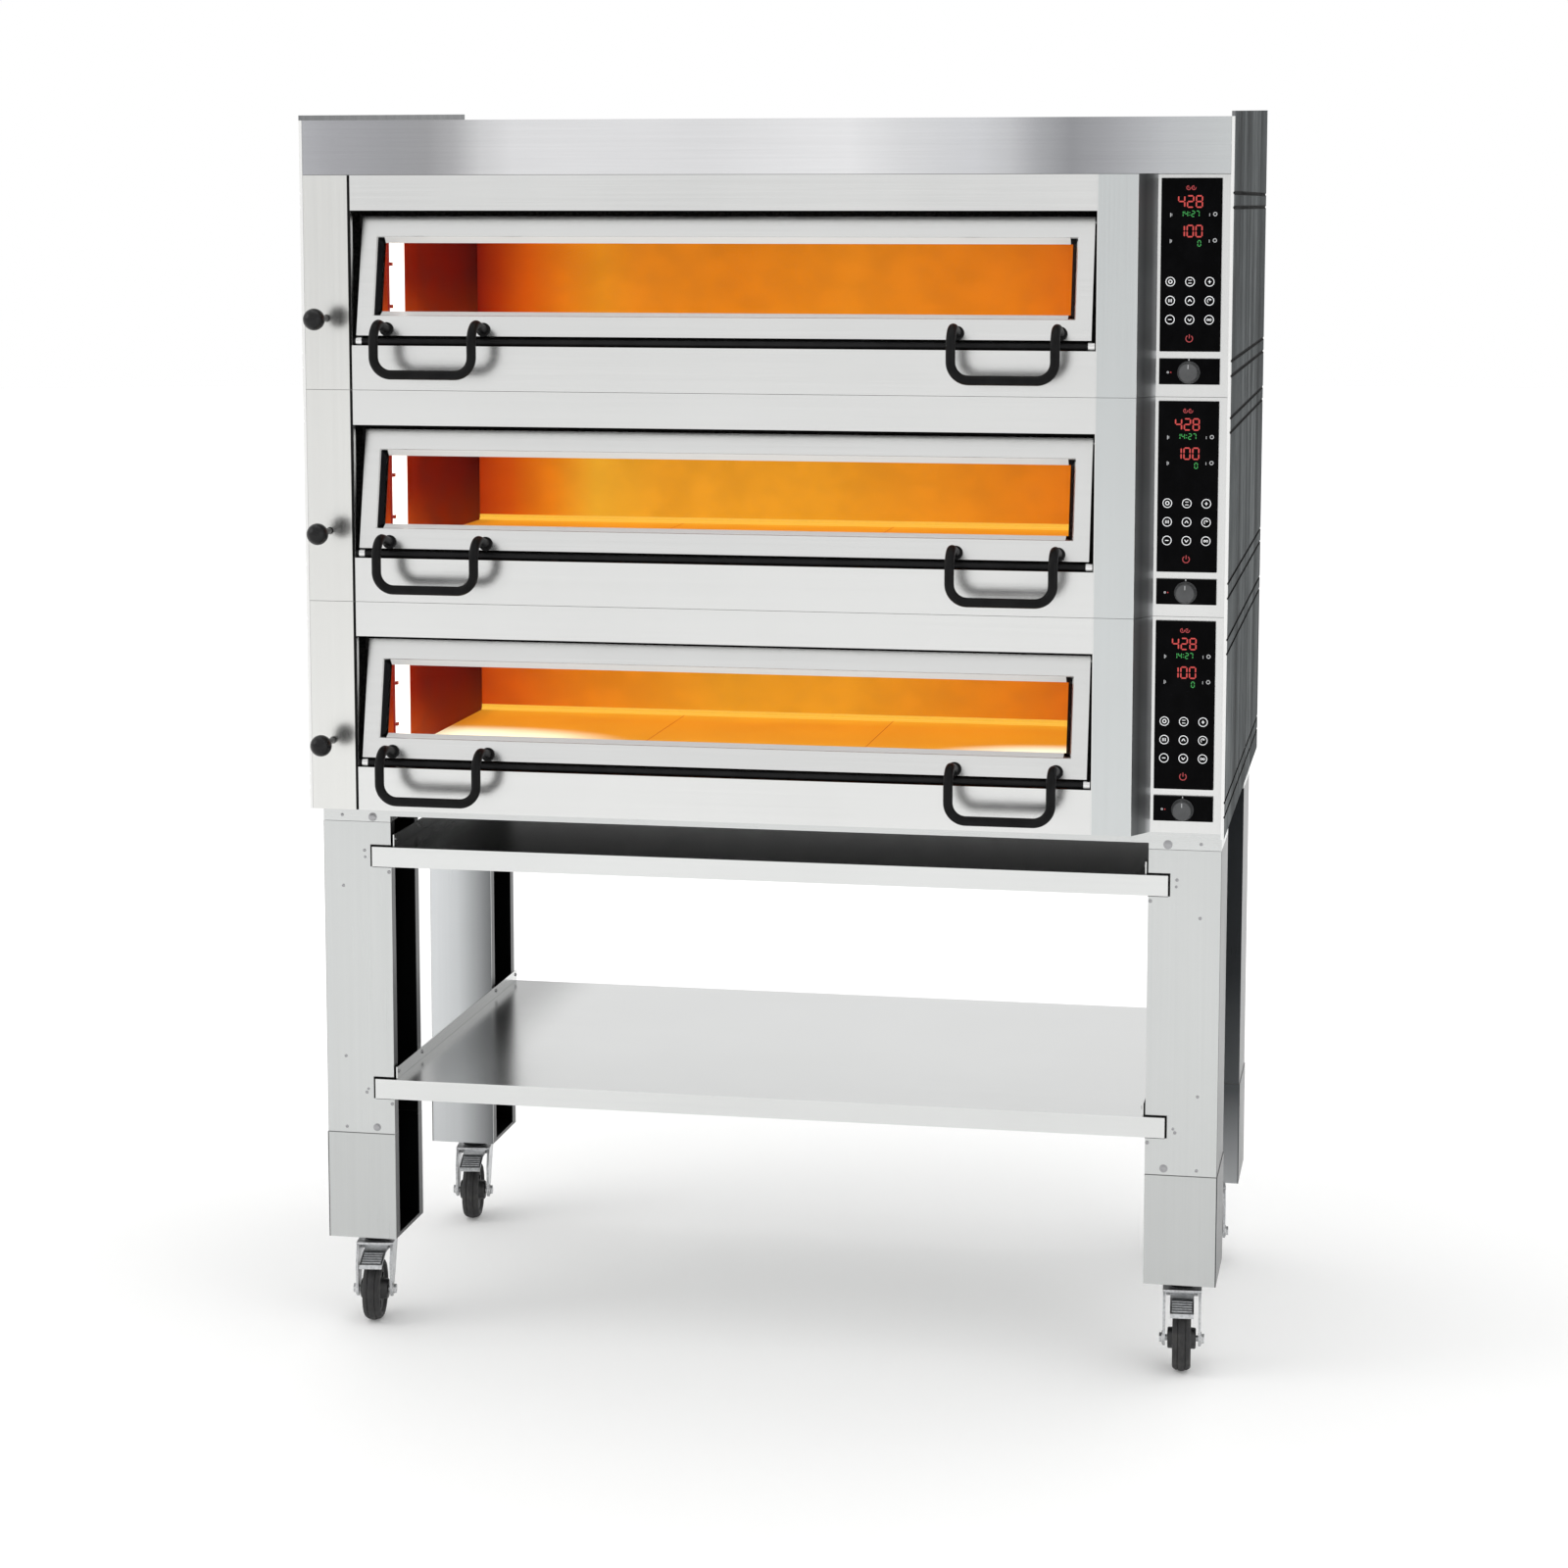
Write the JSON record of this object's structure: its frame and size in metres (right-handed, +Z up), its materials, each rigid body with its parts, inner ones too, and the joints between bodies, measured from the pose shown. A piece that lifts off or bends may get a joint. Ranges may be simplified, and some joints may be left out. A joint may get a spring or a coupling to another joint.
{
  "type": "deck oven",
  "caption": "Electric deck oven: stacked baking chambers with slanted glass doors, touch controls, a hood and a wheeled stand with shelves.",
  "frame": {"origin": "on the floor under the middle of the oven's box", "axes": "+X to the right as a baker faces the oven, -Y towards the baker, +Z up"},
  "size_m": [1.48, 1.01, 2.028],
  "materials": {
    "stainless_steel": "fine horizontal brushing, satin",
    "dark_side_steel": "dark satin sheet with faint vertical streaks",
    "chamber_lining": "heat-tinted aluminised lining over mineral wool",
    "hearth_stone": "rough refractory stone",
    "oven_glass": "clear tempered glass",
    "black_coated_steel": "black powder coat, satin",
    "black_plastic": "black phenolic, semi-gloss",
    "black_glass_panel": "glossy black touch glass",
    "grey_plastic": "matt grey",
    "zinc_steel": "zinc plated",
    "black_rubber": "matt black rubber"
  },
  "bodies": {
    "oven_body": {"side_panel_left": "dark_side_steel", "side_panel_right": "dark_side_steel", "hood": "stainless_steel", "roof_panel": "stainless_steel", "back_panel": "stainless_steel", "stand_top_frame": "stainless_steel", "upper_shelf": "stainless_steel", "lower_shelf": "stainless_steel", "leg_front_left": "stainless_steel", "leg_front_right": "stainless_steel", "leg_rear_left": "stainless_steel", "leg_rear_right": "stainless_steel", "deck_1_front_frame": "stainless_steel", "deck_1_baking_chamber": "chamber_lining", "deck_1_hearth_stone": "hearth_stone", "deck_1_sill_bar": "black_coated_steel", "deck_1_touch_panel": "black_glass_panel", "deck_1_switch_panel": "black_glass_panel", "deck_2_front_frame": "stainless_steel", "deck_2_baking_chamber": "chamber_lining", "deck_2_hearth_stone": "hearth_stone", "deck_2_sill_bar": "black_coated_steel", "deck_2_touch_panel": "black_glass_panel", "deck_2_switch_panel": "black_glass_panel", "deck_3_front_frame": "stainless_steel", "deck_3_baking_chamber": "chamber_lining", "deck_3_hearth_stone": "hearth_stone", "deck_3_sill_bar": "black_coated_steel", "deck_3_touch_panel": "black_glass_panel", "deck_3_switch_panel": "black_glass_panel"},
    "deck_1_door": {"deck_1_door_frame": "stainless_steel", "deck_1_door_glass": "oven_glass", "deck_1_door_handle_left": "black_coated_steel", "deck_1_door_handle_right": "black_coated_steel"},
    "deck_1_damper": {"deck_1_damper_pull": "black_plastic"},
    "deck_1_knob": {"deck_1_rotary_knob": "grey_plastic"},
    "deck_2_door": {"deck_2_door_frame": "stainless_steel", "deck_2_door_glass": "oven_glass", "deck_2_door_handle_left": "black_coated_steel", "deck_2_door_handle_right": "black_coated_steel"},
    "deck_2_damper": {"deck_2_damper_pull": "black_plastic"},
    "deck_2_knob": {"deck_2_rotary_knob": "grey_plastic"},
    "deck_3_door": {"deck_3_door_frame": "stainless_steel", "deck_3_door_glass": "oven_glass", "deck_3_door_handle_left": "black_coated_steel", "deck_3_door_handle_right": "black_coated_steel"},
    "deck_3_damper": {"deck_3_damper_pull": "black_plastic"},
    "deck_3_knob": {"deck_3_rotary_knob": "grey_plastic"},
    "caster_front_left_swivel": {"caster_front_left_fork": "zinc_steel"},
    "caster_front_left_rolling": {"caster_front_left_wheel": "black_rubber"},
    "caster_front_left_brake": {"caster_front_left_brake_pedal": "zinc_steel"},
    "caster_front_right_swivel": {"caster_front_right_fork": "zinc_steel"},
    "caster_front_right_rolling": {"caster_front_right_wheel": "black_rubber"},
    "caster_front_right_brake": {"caster_front_right_brake_pedal": "zinc_steel"},
    "caster_rear_left_swivel": {"caster_rear_left_fork": "zinc_steel"},
    "caster_rear_left_rolling": {"caster_rear_left_wheel": "black_rubber"},
    "caster_rear_left_brake": {"caster_rear_left_brake_pedal": "zinc_steel"},
    "caster_rear_right_swivel": {"caster_rear_right_fork": "zinc_steel"},
    "caster_rear_right_rolling": {"caster_rear_right_wheel": "black_rubber"},
    "caster_rear_right_brake": {"caster_rear_right_brake_pedal": "zinc_steel"}
  },
  "joints": [
    {"name": "deck_1_door_hinge", "type": "hinge", "parent": "oven_body", "child": "deck_1_door", "pos_m": [-0.062, -0.3677, 1.83523], "axis": [-1, 0, 0], "range_deg": [0, 75]},
    {"name": "deck_1_damper_slide", "type": "slide", "parent": "oven_body", "child": "deck_1_damper", "axis": [0, -1, 0], "range_m": [-0.045, 0]},
    {"name": "deck_1_knob_turn", "type": "hinge", "parent": "oven_body", "child": "deck_1_knob", "pos_m": [0.6725, -0.3845, 1.606], "axis": [0, -1, 0], "range_deg": [-90, 0]},
    {"name": "deck_2_door_hinge", "type": "hinge", "parent": "oven_body", "child": "deck_2_door", "pos_m": [-0.062, -0.3677, 1.49423], "axis": [-1, 0, 0], "range_deg": [0, 75]},
    {"name": "deck_2_damper_slide", "type": "slide", "parent": "oven_body", "child": "deck_2_damper", "axis": [0, -1, 0], "range_m": [-0.045, 0]},
    {"name": "deck_2_knob_turn", "type": "hinge", "parent": "oven_body", "child": "deck_2_knob", "pos_m": [0.6725, -0.3845, 1.265], "axis": [0, -1, 0], "range_deg": [-90, 0]},
    {"name": "deck_3_door_hinge", "type": "hinge", "parent": "oven_body", "child": "deck_3_door", "pos_m": [-0.062, -0.3677, 1.15323], "axis": [-1, 0, 0], "range_deg": [0, 75]},
    {"name": "deck_3_damper_slide", "type": "slide", "parent": "oven_body", "child": "deck_3_damper", "axis": [0, -1, 0], "range_m": [-0.045, 0]},
    {"name": "deck_3_knob_turn", "type": "hinge", "parent": "oven_body", "child": "deck_3_knob", "pos_m": [0.6725, -0.3845, 0.924], "axis": [0, -1, 0], "range_deg": [-90, 0]},
    {"name": "caster_front_left_swivel_joint", "type": "hinge", "parent": "oven_body", "child": "caster_front_left_swivel", "pos_m": [-0.677, -0.2975, 0.14], "axis": [0, 0, 1], "continuous": true},
    {"name": "caster_front_left_wheel_spin", "type": "hinge", "parent": "caster_front_left_swivel", "child": "caster_front_left_rolling", "pos_m": [-0.67283, -0.32721, 0.0525], "axis": [0.9903, 0.1392, 0], "continuous": true},
    {"name": "caster_front_left_brake_hinge", "type": "hinge", "parent": "caster_front_left_swivel", "child": "caster_front_left_brake", "pos_m": [-0.67756, -0.29354, 0.115], "axis": [-0.9903, -0.1392, 0], "range_deg": [0, 12]},
    {"name": "caster_front_right_swivel_joint", "type": "hinge", "parent": "oven_body", "child": "caster_front_right_swivel", "pos_m": [0.677, -0.2975, 0.14], "axis": [0, 0, 1], "continuous": true},
    {"name": "caster_front_right_wheel_spin", "type": "hinge", "parent": "caster_front_right_swivel", "child": "caster_front_right_rolling", "pos_m": [0.67909, -0.32743, 0.0525], "axis": [0.9976, 0.0698, 0], "continuous": true},
    {"name": "caster_front_right_brake_hinge", "type": "hinge", "parent": "caster_front_right_swivel", "child": "caster_front_right_brake", "pos_m": [0.67672, -0.29351, 0.115], "axis": [-0.9976, -0.0698, 0], "range_deg": [0, 12]},
    {"name": "caster_rear_left_swivel_joint", "type": "hinge", "parent": "oven_body", "child": "caster_rear_left_swivel", "pos_m": [-0.677, 0.2975, 0.14], "axis": [0, 0, 1], "continuous": true},
    {"name": "caster_rear_left_wheel_spin", "type": "hinge", "parent": "caster_rear_left_swivel", "child": "caster_rear_left_rolling", "pos_m": [-0.67283, 0.26779, 0.0525], "axis": [0.9903, 0.1392, 0], "continuous": true},
    {"name": "caster_rear_left_brake_hinge", "type": "hinge", "parent": "caster_rear_left_swivel", "child": "caster_rear_left_brake", "pos_m": [-0.67756, 0.30146, 0.115], "axis": [-0.9903, -0.1392, 0], "range_deg": [0, 12]},
    {"name": "caster_rear_right_swivel_joint", "type": "hinge", "parent": "oven_body", "child": "caster_rear_right_swivel", "pos_m": [0.677, 0.2975, 0.14], "axis": [0, 0, 1], "continuous": true},
    {"name": "caster_rear_right_wheel_spin", "type": "hinge", "parent": "caster_rear_right_swivel", "child": "caster_rear_right_rolling", "pos_m": [0.68014, 0.26766, 0.0525], "axis": [0.9945, 0.1045, 0], "continuous": true},
    {"name": "caster_rear_right_brake_hinge", "type": "hinge", "parent": "caster_rear_right_swivel", "child": "caster_rear_right_brake", "pos_m": [0.67658, 0.30148, 0.115], "axis": [-0.9945, -0.1045, 0], "range_deg": [0, 12]}
  ]
}
